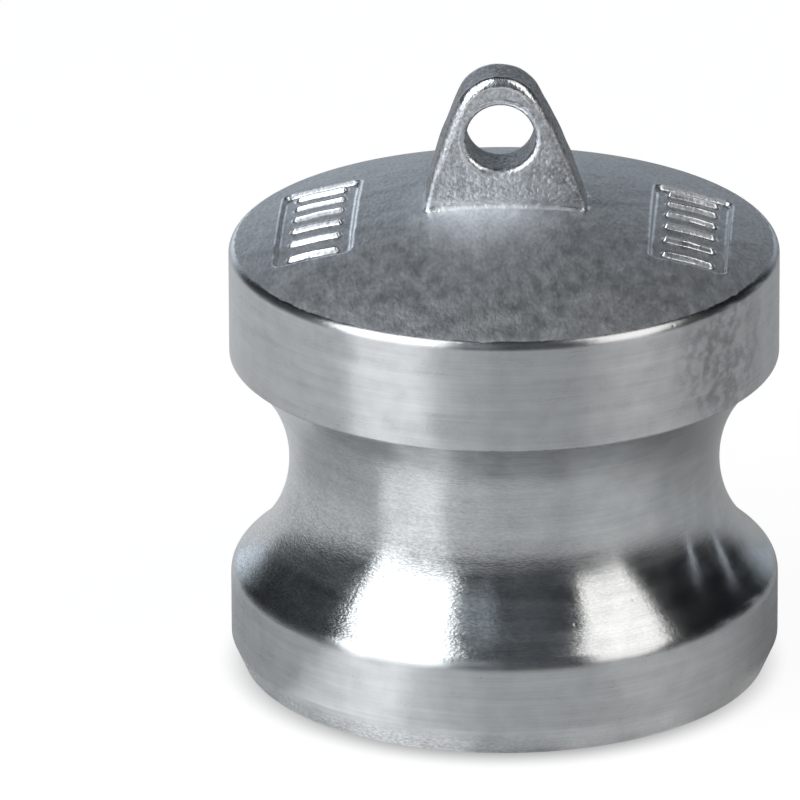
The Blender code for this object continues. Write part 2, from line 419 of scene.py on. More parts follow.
    def inside(self) -> Grid:
        """The hollow's profile: rounded mouth, drafted wall, corner and ceiling, to the axis.

        The corner's centre is where its round touches both the wall and the ceiling, found by
        working out its height and its radius from each other in turn.

        Returns:
            The profile's points, as radius and height.
        """
        ceiling_radius = self.crown_radius - self.crown_thickness
        reach = ceiling_radius - self.hollow_corner
        corner_z = self.groove_height
        for _ in range(SETTLING_ROUNDS):
            corner_x = self.wall(corner_z) - self.hollow_corner / math.cos(self.hollow_draft)
            corner_z = self.crown_centre + math.sqrt(reach**2 - corner_x**2)
        angle = math.atan2(corner_z - self.crown_centre, corner_x)
        mouth_centre = (self.wall(0.0) + self.mouth_round, self.mouth_round)
        mouth_end = self.hollow_draft - math.pi
        mouth = arc(mouth_centre, self.mouth_round, -math.pi / 2, mouth_end, steps=5)
        corner = arc((corner_x, corner_z), self.hollow_corner, self.hollow_draft, angle, steps=8)
        ceiling = arc((0.0, self.crown_centre), ceiling_radius, angle, math.pi / 2, steps=14)
        wall = eased(mouth[-1], corner[0], steps=16)
        return np.concatenate((mouth, wall, corner, ceiling[1:]))

    def solid(self) -> Solid:
        """Turns the whole profile about the axis.

        A point at radius r and height z goes to (r cos t, r sin t, z) at each turn t. The dome's
        heights come from crown_height, and both poles are single points.

        Returns:
            The body's points and faces.
        """
        dome = np.linspace(0, self.rim_start, self.dome_rings + 2)[1:-1]
        profile = np.concatenate(
            (np.stack((dome, np.zeros_like(dome)), axis=1), self.outside(), self.inside()[:-1])
        )
        step = np.arange(self.segments)
        turn = step * math.tau / self.segments
        x = profile[:, :1] * np.cos(turn)
        y = profile[:, :1] * np.sin(turn)
        z = np.repeat(profile[:, 1:], self.segments, axis=1)
        z[: len(dome)] = self.crown_height(x[: len(dome)], y[: len(dome)])
        rings = np.stack((x, y, z), axis=2).reshape(-1, 3)
        nought = np.zeros(1)
        top = (0.0, 0.0, float(self.crown_height(nought, nought)[0]))
        under = (0.0, 0.0, self.crown_top - self.crown_thickness)
        count = len(rings)
        last = count - self.segments + step
        faces = grid_faces(len(profile), self.segments, wrap_rows=False, wrap_columns=True)
        faces += faces_of(np.full_like(step, count), step, np.roll(step, -1))
        faces += faces_of(np.full_like(step, count + 1), np.roll(last, -1), last)
        return np.concatenate((rings, (top, under))), faces


@dataclass
class KeeperLug:
    """The lug on the crown, with rounded edges and the hole that a keeper chain's ring goes in."""

    body: PlugBody
    height: float = 13.15 * MM
    top_radius: float = 4.35 * MM
    side_radius: float = 54 * MM
    top_flare: float = math.radians(26)
    thickness: float = 5.2 * MM
    edge_round: float = 0.9 * MM
    root_edge_round: float = 0.5 * MM
    foot_round: float = 0.7 * MM
    foot_side_round: float = 0.3 * MM
    lean: float = math.radians(2.8)
    root_depth: float = 2.2 * MM
    hole_below_top: float = 6.15 * MM
    hole_radius: float = 3.3 * MM
    hole_round: float = 0.65 * MM
    sink: float = 0.075 * MM
    foot_depth: float = 0.8 * MM
    root_inset: float = 1.26 * MM
    side_steps: int = 29
    top_steps: int = 25
    root_points: int = 20
    round_points: int = 7
    face_points: int = 17
    wall_points: int = 5
    foot_loops: int = 9
    foot_steps: tuple[int, int] = (48, 14)
    blend: float = 0.1
    unevenness: Unevenness = field(default_factory=lambda: Unevenness(seed=11))

    @property
    def side_centre(self) -> Pair:
        """Centre of the long arc of the right side, tangent to the top round."""
        reach = self.side_radius - self.top_radius
        x = -reach * math.cos(self.top_flare)
        return x, self.height - self.top_radius - reach * math.sin(self.top_flare)

    def half_width(self, height: float) -> float:
        """Half the lug's width at a height on its long side arcs."""
        x, y = self.side_centre
        return x + math.sqrt(self.side_radius**2 - (height - y) ** 2)

    def edge_at(self, height: Grid) -> Grid:
        """Radius of the outline's edge round, which grows from the root to the top."""
        share = smooth(0.0, self.height - self.top_radius, height)
        return self.root_edge_round + (self.edge_round - self.root_edge_round) * share

    def outline(self) -> tuple[Grid, Grid]:
        """The lug's outline in its own plane, from the root up, over the top and round the root.

        Returns:
            Its points and the directions that point squarely out of it, which are nought along the
            root, because that edge is buried and keeps its corners sharp.
        """
        side_centre = self.side_centre
        top_centre = (0.0, self.height - self.top_radius)
        origin = (0.0, 0.0)
        root = math.asin((-self.root_depth - side_centre[1]) / self.side_radius)
        side = (root, self.top_flare, self.side_steps)
        top = (self.top_flare, math.pi / 2, self.top_steps)
        half = np.concatenate(
            (arc(side_centre, self.side_radius, *side), arc(top_centre, self.top_radius, *top)[1:])
        )
        out = np.concatenate((arc(origin, 1, *side), arc(origin, 1, *top)[1:]))
        mirror = np.array((-1.0, 1.0))
        inset = np.array((self.root_inset, 0.0))
        root_row = np.linspace(half[0] * mirror + inset, half[0] - inset, self.root_points)
        points = np.concatenate((half, half[-2::-1] * mirror, root_row))
        return points, np.concatenate((out, out[-2::-1] * mirror, np.zeros_like(root_row)))

    def placed(self, across: Grid, up: Grid, depth: Grid) -> Grid:
        """Carries points from the lug's plane to the crown, leaning towards -X.

        Args:
            across: Places across the lug.
            up: Heights over the crown's middle.
            depth: Distances towards the back.

        Returns:
            Places in the plug's frame: the plane turned by the lean about the crown's middle.
        """
        x = across * math.cos(self.lean) - up * math.sin(self.lean)
        z = across * math.sin(self.lean) + up * math.cos(self.lean)
        return np.stack((x, depth, z + self.body.crown_top), axis=-1)

    def solid(self) -> Solid:
        """Carries the lug's section once round the hole, as a ring.

        At each step of the outline the section runs through the hole's wall, its edge round, the
        front face, the outline's edge round, the side, and back the same way behind. A section
        point is a blend between the hole's edge, pushed out by one distance, and the outline,
        pulled in by a share of the edge round there. It lies at its own depth, less another share
        of that round. The table gives blend, push, pull, depth and less along each stretch.

        Returns:
            The lug's points and faces.
        """
        rim, out = self.outline()
        hole_centre = np.array((0.0, self.height - self.hole_below_top))
        towards = rim - hole_centre
        towards /= np.linalg.norm(towards, axis=1)[:, None]
        hole = hole_centre + towards * self.hole_radius

        half = self.thickness / 2
        quarter = np.linspace(0, math.pi / 2, self.round_points)
        face = np.linspace(0, 1, self.face_points)[1:-1]
        wall = np.linspace(0, 1, self.wall_points)[1:-1]
        hole_push = self.hole_round * (1 - np.cos(quarter))
        hole_depth = half - self.hole_round * (1 - np.sin(quarter))
        behind = np.hstack([np.stack(np.broadcast_arrays(*stretch)) for stretch in (
            (0.0, 0.0, 0.0, wall * (half - self.hole_round), 0.0),
            (0.0, hole_push, 0.0, hole_depth, 0.0),
            (face, self.hole_round, 1.0, half, 0.0),
            (1.0, 0.0, 1 - np.sin(quarter), half, 1 - np.cos(quarter)),
            (1.0, 0.0, 0.0, wall[::-1] * half, wall[::-1]),
        )])
        in_hole, on_side = np.array((0, 0, 0, 0, 0)), np.array((1, 0, 0, 0, 0))
        before = behind * np.array((1, 1, 1, -1, -1))[:, None]
        share, push, pull, depth, less = np.column_stack(
            (in_hole, before, on_side, behind[:, ::-1])
        )

        edge = self.edge_at(rim[:, 1])[:, None]
        inner = hole[:, None] + towards[:, None] * push[:, None]
        outer = rim[:, None] - out[:, None] * (edge * pull)[..., None]
        plane = inner + (outer - inner) * share[:, None]
        across, up = plane[..., 0], plane[..., 1]
        back = depth - edge * less
        wave = self.unevenness.at(across, up, back)
        aside = smooth(1 - self.blend, 1, share)
        across = across - out[:, None, 0] * wave * aside
        up = up - out[:, None, 1] * wave * aside
        back = back - np.sign(back) * wave * (1 - aside) * smooth(0, self.blend, share)
        points = self.placed(across, up, back)
        faces = grid_faces(*points.shape[:2], wrap_rows=True, wrap_columns=True)
        return points.reshape(-1, 3), faces

    def side_at(self, side: int, rise: float) -> float:
        """How far out a side of the leaning lug is where it comes out of the crown.

        Args:
            side: The left side (-1) or the right one (1).
            rise: Height over the crown at which it is wanted.

        Returns:
            Its x, found by working out the lug's height and its width from each other in turn.
        """
        body = self.body
        x = side * self.half_width(0.0)
        for _ in range(SETTLING_ROUNDS):
            crown = body.crown_centre + math.sqrt(body.crown_radius**2 - x * x)
            above = crown + rise - body.crown_top
            height = above * math.cos(self.lean) - x * math.sin(self.lean)
            x = side * self.half_width(height) * math.cos(self.lean) - height * math.sin(self.lean)
        return x

    def foot(self) -> Solid:
        """The fillet round the lug's root, as loops of rounded rectangles that follow the crown.

        At an angle a of its quarter round, a loop lies one foot radius times (1 - cos a) over the
        crown, and the same radius times (1 - sin a) before and behind the lug. Beside it, where the
        fillet is narrower, the side radius takes its place in the second product.

        Returns:
            The fillet's points and faces.
        """
        loops = []
        for angle in np.linspace(0, math.pi / 2, self.foot_loops):
            rise = self.foot_round * (1 - math.cos(angle)) - self.sink
            out = self.foot_round * (1 - math.sin(angle)) - self.sink
            aside = self.foot_side_round * (1 - math.sin(angle)) - self.sink
            low = np.array((self.side_at(-1, rise) - aside, -self.thickness / 2 - out))
            high = np.array((self.side_at(1, rise) + aside, self.thickness / 2 + out))
            loop = rounded_rectangle(low, high, self.root_edge_round + out, self.foot_steps)
            loops.append(np.column_stack((loop, self.body.crown_height(*loop.T) + rise)))
        under = loops[0] - (0, 0, self.foot_depth)
        return lofted(np.stack([under] + loops))


@dataclass
class SunkenPad:
    """One of the two pads beside the lug: a sunken rectangle with plain ribs standing in it."""

    body: PlugBody
    side: int
    length: float = 19 * MM
    width: float = 7.3 * MM
    corner: float = 0.8 * MM
    depth: float = 0.5 * MM
    rim_margin: float = 3 * MM
    turn: float = math.radians(-3)
    wall: float = 0.45 * MM
    rib_count: int = 6
    rib_margin: float = 1.1 * MM
    rib_width: float = 1.0 * MM
    rib_height: float = 0.45 * MM
    rib_draft: float = 0.3 * MM
    rib_ease: float = 0.21 * MM
    rib_corner: float = 0.6
    border: float = 0.7 * MM
    proud: float = 0.004 * MM
    bedding: float = 0.4 * MM
    spacing: float = 0.135 * MM

    @property
    def distance(self) -> float:
        """From the axis to the pad's middle, with its outer corners clear of the rim."""
        reach = self.body.radius - self.rim_margin
        return math.sqrt(reach**2 - (self.length / 2) ** 2) - self.width / 2

    @property
    def floor(self) -> float:
        """Height under the pad's lowest corner at which its pocket ends."""
        reach = self.body.radius - self.rim_margin
        lowest = self.body.crown_centre + math.sqrt(self.body.crown_radius**2 - reach**2)
        return lowest - self.depth - self.bedding

    def placed(self, across: Grid, along: Grid) -> tuple[Grid, Grid]:
        """Turns places on the pad to places on the crown: out by the distance, then by the turn.

        Args:
            across: Places across the pad.
            along: Places along it.

        Returns:
            Their x and y.
        """
        out = across + self.side * self.distance
        x = out * math.cos(self.turn) - along * math.sin(self.turn)
        y = out * math.sin(self.turn) + along * math.cos(self.turn)
        return x, y

    @staticmethod
    def outside(across: Grid, along: Grid, half: Pair, corner: float) -> Grid:
        """Distance outside a rounded rectangle round the middle, negative inside it.

        Args:
            across: Places across.
            along: Places along.
            half: Half its width and half its length.
            corner: Radius of its corners.

        Returns:
            The length beyond the corners' centres, less the radius.
        """
        x = np.abs(across) - half[0] + corner
        y = np.abs(along) - half[1] + corner
        beyond = np.hypot(np.maximum(x, 0), np.maximum(y, 0))
        return beyond + np.minimum(np.maximum(x, y), 0) - corner

    def relief(self, across: Grid, along: Grid) -> Grid:
        """Height over the plain crown: down by the depth inside the pad, and up on each rib.

        Args:
            across: Places across the pad.
            along: Places along it.

        Returns:
            The heights, with every wall eased over its own width.
        """
        pad_half = (self.width / 2, self.length / 2)
        away = self.outside(across, along, pad_half, self.corner)
        rise = -self.depth * smooth(self.wall / 2, -self.wall / 2, away)
        pitch = (self.length - 2 * self.rib_margin - self.rib_width) / (self.rib_count - 1)
        less = self.rib_draft / 2
        rib_half = (pad_half[0] - self.rib_margin - less, self.rib_width / 2 - less)
        for i in range(self.rib_count):
            middle = (i - (self.rib_count - 1) / 2) * pitch
            away = self.outside(across, along - middle, rib_half, rib_half[1] * self.rib_corner)
            rise = rise + self.rib_height * smooth(self.rib_ease, -self.rib_ease, away)
        return rise

    def pocket(self) -> Solid:
        """The cutter that makes room for the tile: a block a little larger than the pad.

        Returns:
            The block's points and faces.
        """
        half = np.array((self.width, self.length)) / 2 + self.border / 2
        loop = rounded_rectangle(-half, half, self.corner, steps=(2, 2))
        x, y = self.placed(*loop.T)
        top = self.body.crown_top + self.depth
        ends = [np.column_stack((x, y, np.full_like(x, z))) for z in (self.floor, top)]
        return lofted(np.stack(ends))

    def tile(self) -> Solid:
        """The pad's surface as a grid on the crown, closed by straight sides and a flat underside.

        Each grid point lies at the crown's height there plus the relief, and stands proud by a
        hair, so that the tile's edge crosses the crown cleanly.

        Returns:
            The tile's points and faces.
        """
        half_width = self.width / 2 + self.border
        half_length = self.length / 2 + self.border
        across = np.linspace(-half_width, half_width, round(2 * half_width / self.spacing))
        along = np.linspace(-half_length, half_length, round(2 * half_length / self.spacing))
        u, v = np.meshgrid(across, along, indexing="ij")
        x, y = self.placed(u, v)
        z = self.body.crown_height(x, y) + self.relief(u, v) + self.proud
        number = np.arange(u.size).reshape(u.shape)
        edge = np.concatenate((
            number[:-1, 0], number[-1, :-1], number[:0:-1, -1], number[0, :0:-1],
        ))
        top = np.stack((x, y, z), axis=2).reshape(-1, 3)
        under = top[edge]
        under[:, 2] = self.floor - self.bedding
        low = u.size + np.arange(len(edge))
        faces = grid_faces(*u.shape, wrap_rows=False, wrap_columns=False)
        faces += faces_of(np.roll(edge, -1), edge, low, np.roll(low, -1))
        faces.append(tuple(low[::-1].tolist()))
        return np.concatenate((top, under)), faces


def operator(operation: str, reflected: bool = False) -> Callable[["Signal", Any], "Signal"]:
    """Makes a method of Signal that puts it and another value through one Math node.

    Args:
        operation: The Math node's operation.
        reflected: Whether the other value comes first.

    Returns:
        The method.
    """
    def method(signal: "Signal", other: "Signal | float") -> "Signal":
        """Puts the two through a Math node.

        Args:
            signal: The signal.
            other: The other value.

        Returns:
            The node's result.
        """
        first, second = (other, signal) if reflected else (signal, other)
        values = {"Value": first, "Value_001": second}
        return signal.wiring.node("ShaderNodeMath", {"operation": operation}, values)

    return method


@dataclass(frozen=True)
class Signal:
    """One socket of a node tree, with Python's operators for the maths on it."""

    wiring: "Wiring"
    socket: bpy.types.NodeSocket

    __add__ = operator("ADD")
    __radd__ = operator("ADD", reflected=True)
    __sub__ = operator("SUBTRACT")
    __rsub__ = operator("SUBTRACT", reflected=True)
    __mul__ = operator("MULTIPLY")
    __rmul__ = operator("MULTIPLY", reflected=True)
    __truediv__ = operator("DIVIDE")
    __pow__ = operator("POWER")

    def rise(self, low: float, high: float, start: float = 0.0, end: float = 1.0) -> "Signal":
        """Goes smoothly from start to end as the signal goes from low to high.

        Args:
            low: Where it starts.
            high: Where it ends.
            start: Value up to the low end.
            end: Value from the high end on.

        Returns:
            The eased signal.
        """
        return self.wiring.node(
            "ShaderNodeMapRange",
            {"interpolation_type": "SMOOTHSTEP"},
            {"Value": self, "From Min": low, "From Max": high, "To Min": start, "To Max": end},
        )

    def other(self, output: str) -> "Signal":
        """Another output of the node that this signal comes from."""
        return Signal(self.wiring, self.socket.node.outputs[output])


def hypot(x: Signal, y: Signal) -> Signal:
    """The root of the sum of two squares: how far from the axis, or how long, (x, y) is."""
    return (x * x + y * y) ** 0.5


class Wiring:
    """Adds nodes and links to the tree of a material or a world."""

    def __init__(self, owner: bpy.types.Material | bpy.types.World) -> None:
        """Empties the owner's node tree.

        Args:
            owner: What the tree belongs to.
        """
        owner.use_nodes = True
        self.tree = owner.node_tree
        self.tree.nodes.clear()

    def node(
        self,
        kind: str,
        settings: dict[str, Any] | None = None,
        inputs: dict[str | int, Any] | None = None,
        output: str | int = 0,
    ) -> Signal:
        """Adds a node, sets it up and connects it.

        Args:
            kind: Type of the node.
            settings: Its properties, set before its sockets.
            inputs: Values or signals for its sockets, by identifier, name or number.
            output: The output that is wanted.

        Returns:
            That output.
        """
        made = self.tree.nodes.new(kind)
        for name, value in (settings or {}).items():
            setattr(made, name, value)
        named = {socket.name: socket for socket in reversed(made.inputs)}
        named |= {socket.identifier: socket for socket in made.inputs}
        for key, value in (inputs or {}).items():
            socket = made.inputs[key] if isinstance(key, int) else named[key]
            if isinstance(value, Signal):
                self.tree.links.new(value.socket, socket)
            else:
                socket.default_value = value
        outputs = {socket.identifier: socket for socket in made.outputs}
        chosen = outputs[output] if output in outputs else made.outputs[output]
        return Signal(self, chosen)

    def place(self) -> tuple[Signal, Signal, Signal, Signal]:
        """Adds the nodes that read the Object coordinates.

        Returns:
            The coordinates as one vector, and x, y and z.
        """
        vector = self.node("ShaderNodeTexCoord", output="Object")
        x = self.node("ShaderNodeSeparateXYZ", {}, {"Vector": vector})
        return vector, x, x.other("Y"), x.other("Z")

    def noise(
        self, vector: Signal, scale: float, detail: float = 2.0, fourth: Signal | None = None
    ) -> Signal:
        """Soft noise between -0.5 and 0.5.

        Args:
            vector: Where it is read.
            scale: How many times a metre it changes.
            detail: Detail of the noise.
            fourth: A fourth coordinate, for noise in four dimensions.

        Returns:
            The noise.
        """
        inputs = {"Vector": vector, "Scale": scale, "Detail": detail}
        if fourth is not None:
            inputs["W"] = fourth
        kind = {"noise_dimensions": "3D" if fourth is None else "4D"}
        return self.node("ShaderNodeTexNoise", kind, inputs, "Fac") - 0.5

    def metal(
        self, colour: Triple, shade: Signal, rough: Signal, bump: float, height: Signal,
        more: dict[str, float],
    ) -> Signal:
        """A metal on a bumpy surface.

        Args:
            colour: Its base colour.
            shade: What makes that colour lighter or darker.
            rough: Its roughness.
            bump: Depth of the bump where its height is one.
            height: Height of the bump.
            more: Values for other sockets of the shader, by name.

        Returns:
            The shader.
        """
        tinted = self.node(
            "ShaderNodeVectorMath", {"operation": "SCALE"}, {"Vector": colour, "Scale": shade}
        )
        normal = self.node(
            "ShaderNodeBump", {}, {"Strength": 1.0, "Distance": bump, "Height": height}
        )
        return self.node("ShaderNodeBsdfPrincipled", {}, {
            "Base Color": tinted, "Metallic": 1.0, "Roughness": rough, "Normal": normal, **more,
        })

    def finish(self, kind: str, shader: Signal) -> None:
        """Connects a shader to a new output node of a material or a world."""
        self.tree.links.new(shader.socket, self.tree.nodes.new(kind).inputs["Surface"])


@dataclass(frozen=True)
class Stain:
    """Faint dark marks on a turned side, which fade out between two distances from one place."""

    place: Triple = (21 * MM, -16.5 * MM, 37.6 * MM)
    fade: Slope = (3.4 * MM, 8.5 * MM, 1.0, 0.0)
    mark: float = 1.1 * MM
    mark_edge: Pair = (-0.12, 0.14)
    depth: float = 0.34

    def shade(self, wiring: Wiring, vector: Signal) -> Signal:
        """What the colour is multiplied by: one, less the depth on the marks near the place.

        Args:
            wiring: Tree that the nodes go into.
            vector: The Object coordinates.

        Returns:
            The factor.
        """
        away = wiring.node(
            "ShaderNodeVectorMath", {"operation": "DISTANCE"},
            {"Vector": vector, "Vector_001": self.place}, "Value",
        )
        marks = wiring.noise(vector, 1 / self.mark, detail=4.0).rise(*self.mark_edge)
        return 1 - away.rise(*self.fade) * marks * self.depth


@dataclass(frozen=True)
class TurnedFinish:
    """Bright steel off the lathe: fine lines round the axis, a small grain and faint stains.

    The bands are satin. The groove, the rim and the lead-in, which lie deeper than the bands, are
    smoother, and their grain breaks up what they mirror. That grain fades towards the right, and
    its light and dark specks also towards the top.
    """

    band_radius: float
    colour: Triple = (0.595, 0.605, 0.612)
    roughness: float = 0.29
    deep_roughness: float = 0.205
    roughness_swing: float = 0.10
    anisotropy: float = 0.83
    anisotropy_turn: float = 0.25
    deep_from: Pair = (0.1 * MM, 0.7 * MM)
    line_pitch: float = 0.17 * MM
    line_run: float = 8 * MM
    line_depth: float = 0.6
    line_shade: float = 0.22
    broad_pitch: float = 1.02 * MM
    broad_run: float = 14 * MM
    patch_scale: float = 420.0
    shade_swing: float = 0.40
    mottle: float = 0.5 * MM
    mottle_depth: float = 2.2
    grain: float = 0.15 * MM
    grain_run: float = 0.36 * MM
    grain_depth: float = 2.2
    grain_fade: Slope = (-12 * MM, 14 * MM, 1.0, 0.22)
    deep_grain: float = 2.6
    speck_shade: float = 1.4
    speck_fade: Slope = (17 * MM, 22 * MM, 1.0, 0.5)
    pit_spacing: float = 3.5 * MM
    pit_edge: Pair = (0.028, 0.07)
    pit_depth: float = 2.0
    bump: float = 0.003 * MM
    stain: Stain = Stain()

    def lines(self, wiring: Wiring, pitch: float, run: float, detail: float) -> Signal:
        """Noise that runs round the axis: fine across the turning lines and long along them.

        Args:
            wiring: Tree that the nodes go into.
            pitch: Width of a line.
            run: How far a line goes before it changes.
            detail: Detail of the noise.

        Returns:
            The noise, between -0.5 and 0.5.
        """
        _, x, y, z = wiring.place()
        drawn = wiring.node(
            "ShaderNodeCombineXYZ", {}, {"X": x / run, "Y": y / run, "Z": z / pitch}
        )
        return wiring.noise(drawn, 1.0, detail, hypot(x, y) / pitch)

    def shader(self, wiring: Wiring) -> Signal:
        """A metal whose highlights spread across the turning lines, that is, up and down.

        Args:
            wiring: Tree that the nodes go into.

        Returns:
            The shader.
        """
        vector, x, y, z = wiring.place()
        deep = (self.band_radius - hypot(x, y)).rise(*self.deep_from)
        specks = self.lines(wiring, self.grain, self.grain_run, detail=1.5)
        specks = specks * x.rise(*self.grain_fade)
        fine = self.lines(wiring, self.line_pitch, self.line_run, detail=1.0)
        broad = self.lines(wiring, self.broad_pitch, self.broad_run, detail=3.0)
        broad = broad + wiring.noise(vector, self.patch_scale, detail=4.0)
        mottle = wiring.noise(vector, 1 / self.mottle, detail=3.0)
        spots = {"Vector": vector, "Scale": 1 / self.pit_spacing}
        dots = wiring.node("ShaderNodeTexVoronoi", {}, spots, "Distance")
        height = fine * self.line_depth + mottle * self.mottle_depth
        height = height + dots.rise(*self.pit_edge) * self.pit_depth
        height = height + specks * self.grain_depth * (1 + deep * (self.deep_grain - 1))
        shade = 1 + broad * self.shade_swing + fine * self.line_shade
        shade = shade + specks * deep * z.rise(*self.speck_fade) * self.speck_shade
        shade = shade * self.stain.shade(wiring, vector)
        rough = self.roughness + deep * (self.deep_roughness - self.roughness)
        rough = rough + broad * self.roughness_swing
        return wiring.metal(self.colour, shade, rough, self.bump, height, {
            "Anisotropic": self.anisotropy, "Anisotropic Rotation": self.anisotropy_turn,
        })


@dataclass(frozen=True)
class CastFinish:
    """Blasted investment casting: a coarse grain, brighter and smoother where the surface bends.

    The crown has a painted glow before the lug, standing for light thrown off the lug's front. The
    lug's grain is stronger and runs all ways, and its front has painted light, so it is lighter than
    its sides, which have painted shade, and less so towards its right edge, which has painted shade.
    """

    lug_foot: float
    lug_front: float
    colour: Triple = (0.545, 0.557, 0.578)
    roughness: float = 0.50
    roughness_swing: float = 0.30
    grain: float = 0.34 * MM
    grain_stretch: float = 2.2
    grain_depth: float = 0.070 * MM
    lump: float = 1.1 * MM
    lump_depth: float = 0.3
    lump_shade: float = 0.35
    patch_scale: float = 130.0
    patch_swing: float = 0.22
    shade_swing: float = 0.70
    # Lighter where the surface bends: partly edge wear, partly painted highlight, in hollow fillets
    # too.
    edge_wear_and_painted_highlight: float = 0.50
    edge_roughness: float = -0.24
    edge_bump: float = 0.35
    lug_blend: float = 1 * MM
    lug_swing: float = 2.1
    # Painted light on the lug's front, with painted shade towards its right edge and on its sides.
    lug_front_painted_light: float = 0.46
    lug_right_painted_shade: Slope = (3 * MM, 8.5 * MM, 0.0, 0.58)
    lug_sides_painted_shade: float = -0.22
    facing: Pair = (0.5, 0.9)
    # Painted glow on the crown before the lug: the light that the lug's front throws there.
    painted_glow_shift: float = -2.8 * MM
    painted_glow_reach: Pair = (8.5 * MM, 11.5 * MM)
    painted_glow_shade: Slope = (0.2, 1.1, 0.75, 0.0)

    def shader(self, wiring: Wiring) -> Signal:
        """A metal with a noisy bump, whose shade and roughness follow the grain and softer noise.

        Args:
            wiring: Tree that the nodes go into.

        Returns:
            The shader.
        """
        vector, x, y, z = wiring.place()
        lug = z.rise(self.lug_foot, self.lug_foot + self.lug_blend)
        stretch = self.grain_stretch - lug * (self.grain_stretch - 1)
        drawn = wiring.node("ShaderNodeCombineXYZ", {}, {"X": x, "Y": y / stretch, "Z": z})
        fine = wiring.noise(drawn, 1 / self.grain, detail=1.5)
        lumps = wiring.noise(drawn, 1 / self.lump)
        patch = wiring.noise(vector, self.patch_scale, detail=3.0)
        bend = wiring.node("ShaderNodeAttribute", {"attribute_name": BEND}, output="Fac")
        normal = wiring.node("ShaderNodeNewGeometry", output="Normal")
        to_back = wiring.node("ShaderNodeSeparateXYZ", {}, {"Vector": normal}, "Y")
        # Painted light on faces of the lug that look forward, let down towards its right edge as
        # painted shade; its sides get painted shade below.
        front = (0 - to_back).rise(*self.facing) * (self.lug_front_painted_light - x.rise(*self.lug_right_painted_shade))
        across, along = self.painted_glow_reach
        # Painted glow: an oval before the lug's front, off to the left, where the crown is made
        # lighter.
        painted_glow = hypot((x - self.painted_glow_shift) / across, (y - self.lug_front) / along)
        height = (fine + lumps * self.lump_depth) * (1 - bend * (1 - self.edge_bump)) * (1 + lug)
        swing = self.shade_swing * (1 + lug * (self.lug_swing - 1))
        shade = 1 + patch * self.patch_swing + (fine + lumps * self.lump_shade) * swing
        # Where the surface bends it is lighter, partly as edge wear and partly as painted highlight,
        # also in hollow fillets.
        shade = shade + bend * self.edge_wear_and_painted_highlight + lug * (front + self.lug_sides_painted_shade)
        # Adds the painted glow before the lug, but not on the lug itself.
        shade = shade + painted_glow.rise(*self.painted_glow_shade) * (1 - lug)
        rough = self.roughness + lumps * self.roughness_swing + bend * self.edge_roughness
        return wiring.metal(self.colour, shade, rough, self.grain_depth, height, {})


def mark_bends(mesh: bpy.types.Mesh, flat: float, sharp: float) -> None:
    """Stores how sharply the surface bends at each point, for the finish to read.

    Over each edge that isn't sharp, the change between its two faces' normals is set against the
    way between their centres. A point's bend is the sum of their products over the sum of the
    ways' squares, at all of its edges, and the stored share rises from one bend to the other.

    Args:
        mesh: Closed mesh with its sharp edges set.
        flat: Bend, one over a radius, up to which the share is nought.
        sharp: Bend from which on it is one.
    """
    def read(items: Any, name: str, width: int, kind: type) -> Grid:
        """Reads one property of all items.

        Args:
            items: The mesh's faces, corners or edges.
            name: The property.
            width: Numbers in it.
            kind: Their type.

        Returns:
            The values, a row for each item where there is more than one number.
        """
        values = np.empty(len(items) * width, dtype=kind)
        items.foreach_get(name, values)
        return values.reshape(-1, width) if width > 1 else values

    normals = read(mesh.polygons, "normal", 3, np.float32)
    centres = read(mesh.polygons, "center", 3, np.float32)
    corners = read(mesh.polygons, "loop_total", 1, np.int32)
    face = np.repeat(np.arange(len(corners)), corners)
    order = np.argsort(read(mesh.loops, "edge_index", 1, np.int32), kind="stable")
    first, second = face[order].reshape(-1, 2).T
    way = centres[second] - centres[first]
    turn = normals[second] - normals[first]
    kept = ~read(mesh.edges, "use_edge_sharp", 1, bool)
    ends = read(mesh.edges, "vertices", 2, np.int32)[kept]
    count = len(mesh.vertices)
    tiny = 1e-12
    total = np.zeros(count)
    squares = np.full(count, tiny)
    for end in ends.T:
        total += np.bincount(end, np.einsum("ij,ij->i", way, turn)[kept], count)
        squares += np.bincount(end, np.einsum("ij,ij->i", way, way)[kept], count)
    share = smooth(flat, sharp, np.abs(total / squares))
    mesh.attributes.new(BEND, "FLOAT", "POINT").data.foreach_set("value", share)


